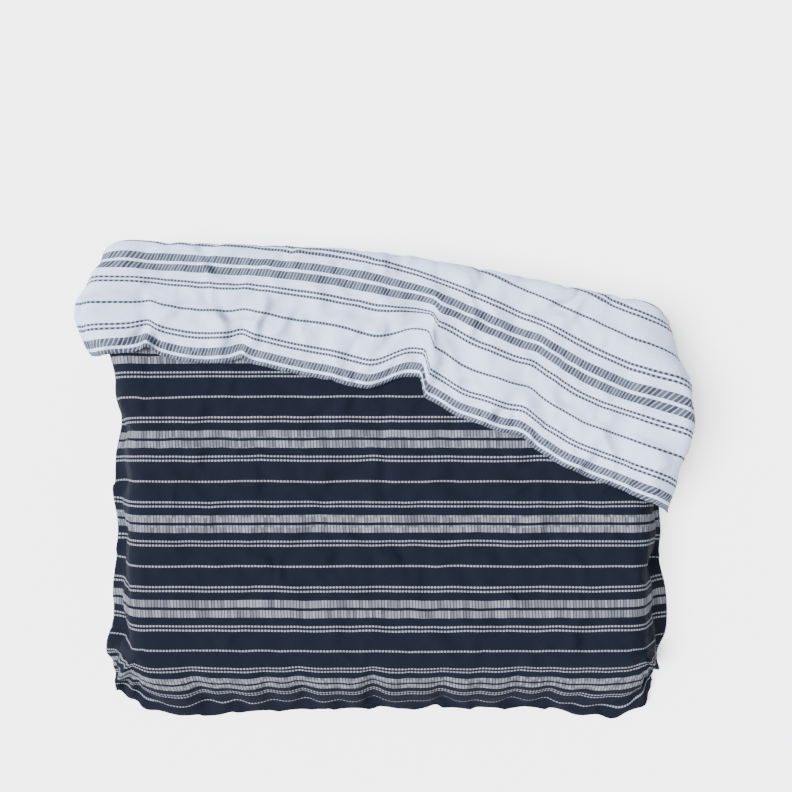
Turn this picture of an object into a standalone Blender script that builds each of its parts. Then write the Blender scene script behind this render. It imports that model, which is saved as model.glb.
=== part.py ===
"""Filled duvet in its zipped cover, lying on a bed with its head end turned back.

The duvet is worked out flat first and then laid on the bed.  A point of it has three
measures: u across the bed, v along it from the foot hem to the head edge, and rise through
its thickness from the bed side up.  bed_point() lays such a point over the mattress, down
its sides to the floor and round the turned-back fold, so that every layer follows the same
shape.  The origin is on the mattress top, at the middle of the mattress; +Y is the head.
"""
import math

import bmesh
import bpy
from mathutils import Vector

# Whole duvet, in metres
CUT_WIDTH = 2.40
CUT_LENGTH = 2.20
TAKE_UP = 0.965             # the filling draws the sides in to this share of the cut width
LOFT = 0.042                # thickness in the middle
HEM_LOFT = 0.30             # share of the loft that is left at the hems
HEM_TAPER = 0.14            # width over which the loft falls away

# Bed that it lies on
MATTRESS_WIDTH = 1.804
MATTRESS_LENGTH = 2.01
MATTRESS_HEIGHT = 0.20
EDGE_RADIUS = 0.05          # rounded mattress edge under the duvet
FLOOR_RADIUS = 0.10         # sweep with which the hem meets the floor
SIDE_SLOPE = math.radians(64)
FOOT_SLOPE = math.radians(38)
FOOT_HANG = 0.378           # cut length that hangs past the flat top at the foot
CORNER_POWER = 5            # 2 leaves the corners full; more takes them up in gathers

# Turned-back head end
TURN_BACK = 0.45            # length turned back on the left, before the skew
SKEW_LEFT = 0.02            # slope of the fold line on its left and right halves
SKEW_RIGHT = 0.22
SKEW_BLEND = 0.30           # width over which one slope passes into the other
LEAN_LEFT = math.radians(3)
LEAN_RIGHT = math.radians(15)
FOLD_GAP = 0.010            # between the two front faces inside the fold

# Layers
CLOTH = 0.0010              # cover cloth
TICKING = 0.0006            # casing of the filled insert
GAP = 0.0003                # between layers that touch
SEAM_INSET = 0.032          # from the cover's seam to the insert's edge
SEAM_LEVEL = 0.006          # height of the closing seam above the bed side
WALL = 0.0008               # baffle tape and gusset
TAPE_CLEAR = 0.0012         # baffle tape and gusset to ticking
FILL_CLEAR = 0.0025         # filling to ticking
FILL_SIDE_CLEAR = 0.0010    # filling to baffles
RIM_CLEAR = 0.0040          # filling to gusset, where the corners gather
COLUMNS = 6                 # cassettes across the insert
FLAT_ROWS = 3               # whole cassette rows before the row that ends at the fold
ROW_CLEAR = 0.122           # least distance from the third baffle to the fold

# Zip in the bed-side panel near the foot hem
ZIP_FROM_HEM = 0.100
ZIP_LENGTH = 1.200
SLOT_CLEAR = 0.0010         # slider's inner plate to the edge of the slot in the panel
TAPE_WIDTH = 0.0153
TAPE_END = 0.020            # tape past each end of the opening
TAPE_THICK = 0.0006
COIL_RADIUS = 0.0010
COIL_CLEAR = 0.0005         # coil to the slider's neck
STOP_LENGTH = 0.004
SLIDER_LENGTH = 0.012
SLIDER_WIDTH = 0.010
PLATE_THICK = 0.0012
INNER_PLATE = 0.0008
NECK_WIDTH = 0.0008
BAIL_WIDTH = 0.0020
BAIL_BAR = 0.0015
BAR_PLAY = 0.00085          # above and below the pull's bar in the bail
BAIL_SPAN = 0.0060          # length of the opening under the bail
PULL_LENGTH = 0.028
PULL_WIDTH = 0.0068
PULL_THICK = 0.0012
EYE_CLEAR = 0.0005          # end of the pull's eye to the corner of the bail
RUN_CLEAR = 0.0003

# Tie tapes, loops and label
TIE_LENGTH = 0.026
TAPE_LAYER = 0.0010
TIE_LEVEL = 0.0073
LOOP_LEVEL = 0.0060
LABEL_LENGTH = 0.050

HALF = CUT_WIDTH * TAKE_UP / 2
FLAT_HALF = MATTRESS_WIDTH / 2 - EDGE_RADIUS
FLAT_FOOT = -(MATTRESS_LENGTH / 2 - EDGE_RADIUS)
SLOT_HALF = SLIDER_WIDTH / 2 + SLOT_CLEAR
FOLD_LENGTH = math.pi * (LOFT + FOLD_GAP) / 2
NEAR = 0.003                # grid lines closer than this are joined

for old in list(bpy.data.objects):
    bpy.data.objects.remove(old, do_unlink=True)


def linear(channel):
    """Linear value of one sRGB channel from 0 to 255."""
    c = channel / 255
    return c / 12.92 if c <= 0.04045 else ((c + 0.055) / 1.055) ** 2.4


def finish(name, srgb, roughness, metallic=0.0):
    material = bpy.data.materials.new(name)
    material.use_nodes = True
    shader = material.node_tree.nodes["Principled BSDF"]
    shader.inputs["Base Color"].default_value = (*[linear(c) for c in srgb], 1.0)
    shader.inputs["Roughness"].default_value = roughness
    shader.inputs["Metallic"].default_value = metallic
    return material


def mix(a, b, share):
    return a + (b - a) * share


def ease(distance):
    """0 at a hem, 1 from HEM_TAPER inwards."""
    share = min(max(distance / HEM_TAPER, 0.0), 1.0)
    return math.sin(share * math.pi / 2)


def loft(u, v):
    """Thickness of the whole duvet at a point of it."""
    fullness = ease(HALF - abs(u)) * ease(min(v, CUT_LENGTH - v))
    return LOFT * mix(HEM_LOFT, 1.0, fullness)


def turn_back(u):
    """Length of the duvet that lies past the fold's start."""
    skew = (SKEW_RIGHT - SKEW_LEFT) / 2 * (u + math.hypot(u, SKEW_BLEND))
    return TURN_BACK + SKEW_LEFT * u + skew


def hang(length, slope):
    """Underside of the hanging part: run out, height and slope angle after this length."""
    outer = (EDGE_RADIUS + LOFT) * slope
    inner = (FLOOR_RADIUS - LOFT) * slope
    bends = (EDGE_RADIUS + FLOOR_RADIUS) * (1 - math.cos(slope))
    straight = (MATTRESS_HEIGHT - bends) / math.sin(slope)
    angle = min(length / (EDGE_RADIUS + LOFT), slope)
    run = EDGE_RADIUS * math.sin(angle)
    height = -EDGE_RADIUS * (1 - math.cos(angle))
    along = min(max(length - outer, 0.0), straight)
    run += along * math.cos(slope)
    height -= along * math.sin(slope)
    past = length - outer - straight
    if past > 0:
        angle = max(slope - past / (FLOOR_RADIUS - LOFT), 0.0)
        run += FLOOR_RADIUS * (math.sin(slope) - math.sin(angle)) + max(past - inner, 0.0)
        height -= FLOOR_RADIUS * (math.cos(angle) - math.cos(slope))
    return run, height, angle


def drape(s, t, height):
    """Point at this height over the bed-side surface, s across and t from the foot hem."""
    over_side = max(abs(s) - FLAT_HALF, 0.0)
    over_foot = max(FOOT_HANG - t, 0.0)
    x = max(min(s, FLAT_HALF), -FLAT_HALF)
    y = FLAT_FOOT + max(t - FOOT_HANG, 0.0)
    if over_side == 0 and over_foot == 0:
        return Vector((x, y, height))
    heading = math.atan2(over_foot, over_side)
    slope = mix(SIDE_SLOPE, FOOT_SLOPE, heading / (math.pi / 2))
    length = (over_side ** CORNER_POWER + over_foot ** CORNER_POWER) ** (1 / CORNER_POWER)
    run, z, angle = hang(length, slope)
    run += height * math.sin(angle)
    z += height * math.cos(angle)
    side = math.copysign(1.0, s)
    return Vector((x + side * run * math.cos(heading), y - run * math.sin(heading), z))


def bed_point(u, v, rise):
    """World position of a point of the duvet."""
    start = CUT_LENGTH - turn_back(u)
    if v <= start:
        return drape(u, v, rise)
    lean = mix(LEAN_LEFT, LEAN_RIGHT, (u + HALF) / (2 * HALF))
    back = Vector((-math.sin(lean), -math.cos(lean)))
    here = loft(u, v)
    if v < start + FOLD_LENGTH:
        share = (v - start) / FOLD_LENGTH
        turn = math.pi * (share - 0.5)
        radius = here - rise + FOLD_GAP / 2
        ahead = Vector((0.0, 1.0)).lerp(-back, share) * radius * math.cos(turn)
        level = here + FOLD_GAP / 2 + radius * math.sin(turn)
        return drape(u + ahead.x, start + ahead.y, level)
    place = Vector((u, start)) + back * (v - start - FOLD_LENGTH)
    return drape(place.x, place.y, loft(place.x, place.y) + FOLD_GAP + here - rise)


THIRD_BAFFLE = CUT_LENGTH - turn_back(HALF) - ROW_CLEAR
MIDDLE_START = CUT_LENGTH - turn_back(0.0)


def skewed(row, u):
    """Measure v of a row, which is named by its v on the centre line, at this u."""
    start = CUT_LENGTH - turn_back(u)
    if row <= THIRD_BAFFLE:
        return row
    if row <= MIDDLE_START:
        return mix(THIRD_BAFFLE, start, (row - THIRD_BAFFLE) / (MIDDLE_START - THIRD_BAFFLE))
    if row <= MIDDLE_START + FOLD_LENGTH:
        return start + row - MIDDLE_START
    share = (row - MIDDLE_START - FOLD_LENGTH) / (CUT_LENGTH - MIDDLE_START - FOLD_LENGTH)
    return mix(start + FOLD_LENGTH, CUT_LENGTH, share)


def pinch(u, row):
    """0 on the cover's seam, 1 from the insert's edge inwards."""
    inside = min(HALF - abs(u), row, CUT_LENGTH - row)
    return min(max(inside / SEAM_INSET, 0.0), 1.0)


def from_below(depth):
    """Rise of a surface at this depth inside the bed-side face."""
    seam = SEAM_LEVEL - GAP / 2 - CLOTH

    def rise(u, row):
        return mix(seam, 0.0, pinch(u, row)) + depth

    return rise


def from_above(depth):
    """Rise of a surface at this depth inside the upper face."""
    seam = SEAM_LEVEL + GAP / 2 + CLOTH

    def rise(u, row):
        return mix(seam, loft(u, skewed(row, u)), pinch(u, row)) - depth

    return rise


def spread(low, high, parts):
    return [mix(low, high, i / parts) for i in range(parts + 1)]


def tidy_lines(fixed, soft):
    """Sorted grid lines: every fixed one, and each soft one that is clear of them."""
    lines = sorted(set(round(value, 6) for value in fixed))
    for value in soft:
        if all(abs(value - line) > NEAR for line in lines):
            lines.append(round(value, 6))
    return sorted(lines)


INSERT_HALF = HALF - SEAM_INSET
INSERT_HEAD = CUT_LENGTH - SEAM_INSET
COLUMN_LINES = [HALF * 2 * i / COLUMNS - HALF for i in range(1, COLUMNS)]
ROW_LINES = [THIRD_BAFFLE * (i + 1) / FLAT_ROWS for i in range(FLAT_ROWS)]
ROW_LINES.append(MIDDLE_START + FOLD_LENGTH / 2)
SLOT_END = ZIP_LENGTH / 2 + STOP_LENGTH
RIM = WALL + RIM_CLEAR              # from the insert's edge to its filling

DROP_LINES = spread(FLAT_HALF, INSERT_HALF, 5)
ACROSS = tidy_lines(
    [-HALF, HALF, -INSERT_HALF, INSERT_HALF, RIM - INSERT_HALF, INSERT_HALF - RIM]
    + [-SLOT_END, SLOT_END] + COLUMN_LINES,
    DROP_LINES + [-line for line in DROP_LINES])
ALONG = tidy_lines(
    [0.0, SEAM_INSET, SEAM_INSET + RIM, ZIP_FROM_HEM - SLOT_HALF, ZIP_FROM_HEM + SLOT_HALF]
    + ROW_LINES + spread(MIDDLE_START, MIDDLE_START + FOLD_LENGTH, 4)
    + [INSERT_HEAD - RIM, INSERT_HEAD, CUT_LENGTH],
    [FOOT_HANG, FOOT_HANG - 0.030, FOOT_HANG - 0.061, FOOT_HANG - 0.168]
    + spread(MIDDLE_START + FOLD_LENGTH, INSERT_HEAD, 4))

SIDES = [
    ((-1, 0, 0), ((0, 0, 0), (0, 0, 1), (0, 1, 1), (0, 1, 0))),
    ((1, 0, 0), ((1, 0, 0), (1, 1, 0), (1, 1, 1), (1, 0, 1))),
    ((0, -1, 0), ((0, 0, 0), (1, 0, 0), (1, 0, 1), (0, 0, 1))),
    ((0, 1, 0), ((0, 1, 0), (0, 1, 1), (1, 1, 1), (1, 1, 0))),
    ((0, 0, -1), ((0, 0, 0), (0, 1, 0), (1, 1, 0), (1, 0, 0))),
    ((0, 0, 1), ((0, 0, 1), (1, 0, 1), (1, 1, 1), (0, 1, 1))),
]


def solid(name, grid, keep, place, material, origin=None):
    """Closed solid of the kept cells of a three-way grid, laid where place() says."""
    origin = origin or Vector((0.0, 0.0, 0.0))
    cells = set()
    for i in range(len(grid[0]) - 1):
        for j in range(len(grid[1]) - 1):
            for k in range(len(grid[2]) - 1):
                if keep(i, j, k):
                    cells.add((i, j, k))
    bm = bmesh.new()
    corners = {}
    for cell in sorted(cells):
        for step, offsets in SIDES:
            if tuple(c + d for c, d in zip(cell, step)) in cells:
                continue
            face = []
            for offset in offsets:
                key = tuple(c + d for c, d in zip(cell, offset))
                if key not in corners:
                    spot = place(*[lines[n] for lines, n in zip(grid, key)])
                    corners[key] = bm.verts.new(spot - origin)
                face.append(corners[key])
            bm.faces.new((face[0], face[1], face[2]))
            bm.faces.new((face[0], face[2], face[3]))
    mesh = bpy.data.meshes.new(name)
    bm.to_mesh(mesh)
    bm.free()
    mesh.materials.append(material)
    piece = bpy.data.objects.new(name, mesh)
    piece.location = origin
    bpy.context.scene.collection.objects.link(piece)
    return piece


def layer(name, across, along, bottom, top, material, keep=None):
    """Piece of the duvet between two rises, over the given grid lines."""
    def place(u, row, level):
        rise = top(u, row) if level else bottom(u, row)
        return bed_point(u, skewed(row, u), rise)

    return solid(name, (across, along, (0, 1)), keep or (lambda i, j, k: True), place, material)


def within(lines, low, high):
    """The grid lines strictly inside a span, with the span's two ends."""
    return [low] + [x for x in lines if low + NEAR / 2 < x < high - NEAR / 2] + [high]


def make_cover():
    """Two woven panels that meet at the seam, with the zip's slot in the bed-side one."""
    navy = finish("cover_navy_cotton", (35, 41, 56), 0.85)
    white = finish("cover_white_cotton", (226, 232, 240), 0.85)

    def beside_slot(i, j, k):
        middle_u = (ACROSS[i] + ACROSS[i + 1]) / 2
        middle_v = (ALONG[j] + ALONG[j + 1]) / 2
        return abs(middle_u) > SLOT_END or abs(middle_v - ZIP_FROM_HEM) > SLOT_HALF

    layer("cover_front_panel", ACROSS, ALONG, from_above(CLOTH), from_above(0.0), navy)
    layer("cover_back_panel", ACROSS, ALONG, from_below(0.0), from_below(CLOTH), white,
          beside_slot)


CASING = CLOTH + GAP
INSIDE = CASING + TICKING


def make_insert_casing():
    """Ticking above and below, the gusset round the edge and the baffle tapes."""
    ticking = finish("insert_ticking", (244, 244, 242), 0.9)
    tape = finish("insert_baffle_tape", (236, 236, 234), 0.9)
    across = within(ACROSS, -INSERT_HALF, INSERT_HALF)
    along = within(ALONG, SEAM_INSET, INSERT_HEAD)
    layer("insert_top_ticking", across, along, from_above(INSIDE), from_above(CASING), ticking)
    layer("insert_bottom_ticking", across, along, from_below(CASING), from_below(INSIDE),
          ticking)

    low, high = from_below(INSIDE + TAPE_CLEAR), from_above(INSIDE + TAPE_CLEAR)
    ring_u = [-INSERT_HALF] + within(across, WALL - INSERT_HALF, INSERT_HALF - WALL)
    ring_u.append(INSERT_HALF)
    ring_v = [SEAM_INSET] + within(along, SEAM_INSET + WALL, INSERT_HEAD - WALL)
    ring_v.append(INSERT_HEAD)

    def on_rim(i, j, k):
        return i in (0, len(ring_u) - 2) or j in (0, len(ring_v) - 2)

    layer("insert_gusset", ring_u, ring_v, low, high, tape, on_rim)

    inner = WALL + GAP
    walls_u = tidy_lines([side * (INSERT_HALF - inner) for side in (-1, 1)]
                         + [line + side * WALL / 2 for line in COLUMN_LINES
                            for side in (-1, 1)], across)
    walls_v = tidy_lines([SEAM_INSET + inner, INSERT_HEAD - inner]
                         + [line + side * WALL / 2 for line in ROW_LINES
                            for side in (-1, 1)], along)
    walls_u = [u for u in walls_u if abs(u) <= INSERT_HALF - inner + 1e-6]
    walls_v = [v for v in walls_v if SEAM_INSET + inner - 1e-6 <= v <= INSERT_HEAD - inner + 1e-6]

    def on_wall(i, j, k):
        middle_u = (walls_u[i] + walls_u[i + 1]) / 2
        middle_v = (walls_v[j] + walls_v[j + 1]) / 2
        return (any(abs(middle_u - line) < WALL / 2 for line in COLUMN_LINES)
                or any(abs(middle_v - line) < WALL / 2 for line in ROW_LINES))

    layer("insert_baffles", walls_u, walls_v, low, high, tape, on_wall)


def make_filling():
    """One solid of filling in each cassette."""
    fibre = finish("insert_fibre_filling", (250, 250, 248), 1.0)
    depth = INSIDE + FILL_CLEAR
    beside = WALL / 2 + FILL_SIDE_CLEAR
    u_edges = [-INSERT_HALF + RIM - beside] + COLUMN_LINES + [INSERT_HALF - RIM + beside]
    v_edges = [SEAM_INSET + RIM - beside] + ROW_LINES + [INSERT_HEAD - RIM + beside]
    for j in range(len(v_edges) - 1):
        along = within(ALONG, v_edges[j] + beside, v_edges[j + 1] - beside)
        for i in range(len(u_edges) - 1):
            across = within(ACROSS, u_edges[i] + beside, u_edges[i + 1] - beside)
            layer(f"fill_row{j + 1}_cassette{i + 1}", across, along, from_below(depth),
                  from_above(depth), fibre)


def make_corner_tapes():
    """Tie on the cover and loop on the insert at each corner, and the blank care label."""
    cotton = finish("tie_tape_cotton", (228, 228, 226), 0.9)
    label = finish("care_label_satin", (240, 240, 240), 0.6)
    inner, outer = 0.78, 0.34       # shares of the seam inset, from the seam

    def strip(name, side, low_row, high_row, first, last, level, material):
        """Strip in the seam inset between two grid rows, following the panels' facets there."""
        near_u, far_u = (-HALF, -INSERT_HALF) if side < 0 else (INSERT_HALF, HALF)

        def place(share_u, share_v, rise):
            def corner(u, row):
                return bed_point(u, skewed(row, u), rise)

            share_u = share_u if side < 0 else 1 - share_u
            low, high = corner(near_u, low_row), corner(far_u, high_row)
            if share_u >= share_v:
                bend = corner(far_u, low_row)
                return low + (bend - low) * share_u + (high - bend) * share_v
            bend = corner(near_u, high_row)
            return low + (bend - low) * share_v + (high - bend) * share_u

        shares = (outer, inner) if side < 0 else (inner, outer)
        grid = (shares, (first, last), (level, level + TAPE_LAYER))
        solid(name, grid, lambda i, j, k: True, place, material)

    ends = (("foot", SEAM_INSET + RIM, ZIP_FROM_HEM - SLOT_HALF),
            ("head", ALONG[-4], INSERT_HEAD - RIM))
    for end, low_row, high_row in ends:
        first = 0.5 - TIE_LENGTH / 2 / (high_row - low_row)
        last = 1 - first
        for hand, side in (("left", -1), ("right", 1)):
            strip(f"cover_tie_{end}_{hand}", side, low_row, high_row, first, last,
                  TIE_LEVEL, cotton)
            strip(f"insert_loop_{end}_{hand}", side, low_row, high_row, first, last,
                  LOOP_LEVEL, cotton)
    next_row = next(row for row in ALONG if row > ZIP_FROM_HEM + SLOT_HALF + NEAR)
    low_row = ZIP_FROM_HEM + SLOT_HALF
    share = LABEL_LENGTH / 2 / (next_row - low_row)
    strip("care_label", -1, low_row, next_row, 0.5 - share, 0.5 + share, TIE_LEVEL, label)


def make_zip():
    """Tapes, coils, stops, slider and pull on the bed side of the foot hang."""
    middle = bed_point(0.0, ZIP_FROM_HEM, 0.0)
    up_slope = (bed_point(0.0, ZIP_FROM_HEM + SLOT_HALF, 0.0) - middle).normalized()
    along = Vector((1.0, 0.0, 0.0))
    out = along.cross(up_slope)
    tape = finish("zip_tape_polyester", (214, 219, 228), 0.8)
    nylon = finish("zip_coil_nylon", (205, 211, 221), 0.45)
    metal = finish("zip_slider_zinc", (176, 178, 182), 0.3, 1.0)

    def place(x, a, h):
        return middle + along * x + up_slope * a + out * h

    def every(i, j, k):
        return True

    tape_gap = NECK_WIDTH / 2 + RUN_CLEAR
    coil_offset = NECK_WIDTH / 2 + COIL_CLEAR + COIL_RADIUS
    tape_top = -GAP
    tape_low = tape_top - TAPE_THICK
    coil_middle = tape_low - GAP - COIL_RADIUS
    coil_low = coil_middle - COIL_RADIUS
    end = ZIP_LENGTH / 2
    coil_end = end - STOP_LENGTH - 2 * RUN_CLEAR
    stop_half = coil_offset + COIL_RADIUS
    for name, side in (("upper", 1), ("lower", -1)):
        edges = sorted((side * tape_gap, side * (tape_gap + TAPE_WIDTH)))
        solid(f"zip_tape_{name}", ((-end - TAPE_END, end + TAPE_END), edges,
                                   (tape_low, tape_top)), every, place, tape)
        bm = bmesh.new()
        bmesh.ops.create_cone(bm, cap_ends=True, segments=8, radius1=COIL_RADIUS,
                              radius2=COIL_RADIUS, depth=2 * coil_end)
        mesh = bpy.data.meshes.new(f"zip_coil_{name}")
        bm.to_mesh(mesh)
        bm.free()
        mesh.materials.append(nylon)
        coil = bpy.data.objects.new(f"zip_coil_{name}", mesh)
        coil.location = place(0.0, side * coil_offset, coil_middle)
        coil.rotation_euler = (0.0, math.pi / 2, 0.0)
        bpy.context.scene.collection.objects.link(coil)
    for name, side in (("closed", -1), ("open", 1)):
        ends = sorted((side * (end - STOP_LENGTH), side * end))
        solid(f"zip_stop_{name}", (ends, (-stop_half, stop_half), (coil_low, tape_low - GAP)),
              every, place, metal)

    plate_top = coil_low - RUN_CLEAR
    plate_low = plate_top - PLATE_THICK
    bail_opening = PULL_THICK + 2 * BAR_PLAY
    bail_top = plate_low - bail_opening
    start = SLIDER_LENGTH / 2 + 2 * RUN_CLEAR + STOP_LENGTH - end
    half_l, half_w = SLIDER_LENGTH / 2, SLIDER_WIDTH / 2
    half_span, half_bail, half_neck = BAIL_SPAN / 2, BAIL_WIDTH / 2, NECK_WIDTH / 2
    xs = [start + x for x in (-half_l, -half_span - BAIL_BAR, -half_span,
                              half_span, half_span + BAIL_BAR, half_l)]
    widths = [-half_w, -half_bail, -half_neck, half_neck, half_bail, half_w]
    heights = [bail_top - BAIL_BAR, bail_top, plate_low, plate_top, 0.0, INNER_PLATE]

    def slider_cell(i, j, k):
        if k in (2, 4):
            return True
        if k == 3:
            return j == 2
        return 1 <= j <= 3 and (i in (1, 3) if k == 1 else 1 <= i <= 3)

    solid("zip_slider", (xs, widths, heights), slider_cell, place, metal,
          origin=place(start, 0.0, plate_low))

    axis = plate_low - bail_opening / 2
    half_bar = PULL_THICK / 2
    eye_half = half_bail + RUN_CLEAR
    arm = eye_half + half_bar * 2
    corner = math.hypot(half_span + BAIL_BAR, bail_opening / 2 + BAIL_BAR)
    eye_end = axis - corner - EYE_CLEAR
    tip = axis - PULL_LENGTH
    pull_widths = [-PULL_WIDTH / 2, -arm, -eye_half, eye_half, arm, PULL_WIDTH / 2]
    pull_heights = [tip, tip + PULL_THICK * 2, eye_end - PULL_THICK, eye_end,
                    axis - half_bar, axis + half_bar]

    def pull_cell(i, j, k):
        if k == 3:
            return j in (1, 3)
        return True if k == 1 else 1 <= j <= 3

    solid("zip_pull", ((start - half_bar, start + half_bar), pull_widths, pull_heights),
          pull_cell, place, metal, origin=place(start, 0.0, axis))


make_cover()
make_insert_casing()
make_filling()
make_corner_tapes()
make_zip()
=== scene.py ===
"""Looks of the filled duvet that lies on a bed with its head end turned back.

The cover's two panels, the filled insert and the zip's fine parts are made here over the
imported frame.  A point of the duvet is named by u across it, v along it from the foot hem
and rise through its thickness, and laid() puts it on the bed.
"""
import math

import bmesh
import bpy
import numpy as np
from mathutils import Matrix, Vector


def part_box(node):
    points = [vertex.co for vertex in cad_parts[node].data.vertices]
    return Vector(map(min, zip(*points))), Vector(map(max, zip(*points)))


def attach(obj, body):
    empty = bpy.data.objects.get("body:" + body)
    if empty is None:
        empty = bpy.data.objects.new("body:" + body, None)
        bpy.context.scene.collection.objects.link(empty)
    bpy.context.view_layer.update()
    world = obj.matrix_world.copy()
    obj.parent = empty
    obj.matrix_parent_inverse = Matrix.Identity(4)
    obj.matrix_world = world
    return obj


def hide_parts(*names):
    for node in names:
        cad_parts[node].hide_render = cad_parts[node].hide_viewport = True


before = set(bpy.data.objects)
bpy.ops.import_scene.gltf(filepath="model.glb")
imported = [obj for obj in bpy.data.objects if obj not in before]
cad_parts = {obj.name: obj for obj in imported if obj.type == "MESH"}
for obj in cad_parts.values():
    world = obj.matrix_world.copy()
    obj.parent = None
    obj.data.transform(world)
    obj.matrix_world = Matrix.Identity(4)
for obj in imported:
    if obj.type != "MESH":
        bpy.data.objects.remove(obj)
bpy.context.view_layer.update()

# Sizes that the pieces share with the frame, in metres
CUT_WIDTH, CUT_LENGTH = 2.40, 2.20
TAKE_UP = 0.965             # the filling draws the sides in
HALF = CUT_WIDTH * TAKE_UP / 2
LOFT, HEM_LOFT, HEM_TAPER = 0.042, 0.30, 0.14
EDGE_RADIUS, FLOOR_RADIUS = 0.05, 0.10
MATTRESS_HEIGHT = 0.20
FLAT_HALF = 1.804 / 2 - EDGE_RADIUS
FLAT_FOOT = EDGE_RADIUS - 2.01 / 2
SIDE_SLOPE, FOOT_SLOPE = math.radians(64), math.radians(38)
FOOT_HANG = 0.378
CORNER_POWER = 5
TURN_BACK, SKEW_LEFT, SKEW_RIGHT, SKEW_BLEND = 0.45, 0.02, 0.22, 0.30
LEAN_LEFT, LEAN_RIGHT = math.radians(3), math.radians(15)
FOLD_GAP = 0.010
FOLD_LENGTH = math.pi * (LOFT + FOLD_GAP) / 2
SEAM_INSET, SEAM_LEVEL = 0.032, 0.006
ZIP_FROM_HEM, ZIP_LENGTH = 0.100, 1.200
SLOT_HALF = 0.006
SLOT_END = ZIP_LENGTH / 2 + 0.004
THIRD_ROW_CLEAR = 0.122

# Sizes of the looks
SETTLED_LOFT = 0.037        # a little under the full loft, which leaves room for creases
CLOTH = 0.0006
HEM_ROUND = 0.055           # width over which the panels round in to their seam
GRID = 0.012                # spacing of the panels' mesh
INSERT_GRID, INSERT_FOLD_GRID = 0.015, 0.008
INSERT_DEPTH = 0.0055       # from the cover's outer face to the insert
INSERT_CLEAR = 0.001        # from the cover's seam allowance to the insert's edge
INSERT_EDGE = 0.020         # width over which the insert's edge rounds off
DRAWN_IN = 0.003            # depth to which the baffles draw the insert in
COLUMNS, ROWS = 6, 5
CEILING, FLOOR_LEVEL = 0.111, -MATTRESS_HEIGHT
EASE_TOP, EASE_FLOOR = 0.014, 0.012     # heights over which points are eased back from these

# Soft folds: heights and lengths in metres
WAVE_HEIGHT = 0.0035
SIDE_FOLD_HEIGHT, SIDE_FOLD_PITCH, SMALL_FOLD_PITCH = 0.0065, 0.37, 0.19
GATHERS = ((0.011, 11, 0.8), (0.008, 27, 2.0))      # height, number and shift of each set
END_PUSH = 0.084
FOOT_FOLD_HEIGHT, FOOT_FOLD_PITCH, SMALL_FOOT_FOLD_PITCH = 0.0045, 0.29, 0.13
FOOT_EDGE_FULLNESS = 0.018
RUFFLE_HEIGHT = 0.005
CREASE_LENGTHS, FULL_CREASE = (0.09, 0.32), 0.34    # a crease of this length has full height
FLAP_WAVE_HEIGHT, FLAP_CREASE_HEIGHT, FLAP_END_LIFT = 0.0040, 0.0140, 0.042
EDGE_STEP = 0.060
CALM_BY_ZIP, FREE_FROM_ZIP = 0.66, 0.76             # measures from the middle of the foot hem
FOOT_HEM_IN, CORNER_IN_LEFT, CORNER_IN_RIGHT = 0.006, -0.004, 0.036
TIP_IN_LEFT, TIP_IN_RIGHT = 0.006, 0.030
TAKEN_UP_SHARE, MOST_TAKEN_UP = 0.31, 0.072

# Even waves of the outlines: height, length and shift of each
FOOT_HEM_WAVES = ((0.005, 0.33, 1.0), (0.003, 0.14, 0.0))
SIDE_HEM_WAVE = (0.006, 0.41, 0.7)
FREE_EDGE_WAVE = (0.006, 0.36, 0.4)

# Bells that push an outline out or in: place, width and reach of each
LEFT_END, RIGHT_END = ((1.54, 0.26, 1.12),), ((1.20, 0.28, 1.0),)
FOOT_HEM_BELLS = ((-0.66, 0.30, 0.038), (0.86, 0.15, 0.044))
LEFT_HEM_BELLS, RIGHT_HEM_BELLS = ((0.27, 0.14, 0.046),), ((0.44, 0.16, 0.016),)
FREE_EDGE_BELLS = ((-0.09, 0.17, 0.034), (0.33, 0.08, 0.016), (-0.82, 0.035, -0.018),
                   (-0.48, 0.035, -0.014), (0.56, 0.040, -0.012))


def mix(a, b, share):
    return a + (b - a) * share


def smooth(low, high, x):
    """0 below low, 1 above high and an even rise between."""
    share = np.clip((x - low) / (high - low), 0, 1)
    return share * share * (3 - 2 * share)


def bump(x, width):
    """Bell that has fallen to about a third at this distance from its middle."""
    return np.exp(-(x / width) ** 2)


def bells(x, table):
    """Sum of the bells of a table."""
    return sum(reach * bump(x - place, width) for place, width, reach in table)


def by_side(s, t, left, right):
    """Bells along the left side or the right side."""
    return bells(t, left) * (s < 0) + bells(t, right) * (s > 0)


def wave(x, length, shift):
    return np.sin(2 * math.pi * x / length + shift)


def ease(distance):
    return np.sin(np.clip(distance / HEM_TAPER, 0, 1) * math.pi / 2)


def loft(u, v):
    """Thickness of the duvet at a point of it."""
    fullness = ease(HALF - np.abs(u)) * ease(np.minimum(v, CUT_LENGTH - v))
    return SETTLED_LOFT * mix(HEM_LOFT, 1.0, fullness)


def turn_back(u):
    """Length of the duvet that lies past the fold's start."""
    skew = (SKEW_RIGHT - SKEW_LEFT) / 2 * (u + np.hypot(u, SKEW_BLEND))
    return TURN_BACK + SKEW_LEFT * u + skew


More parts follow.
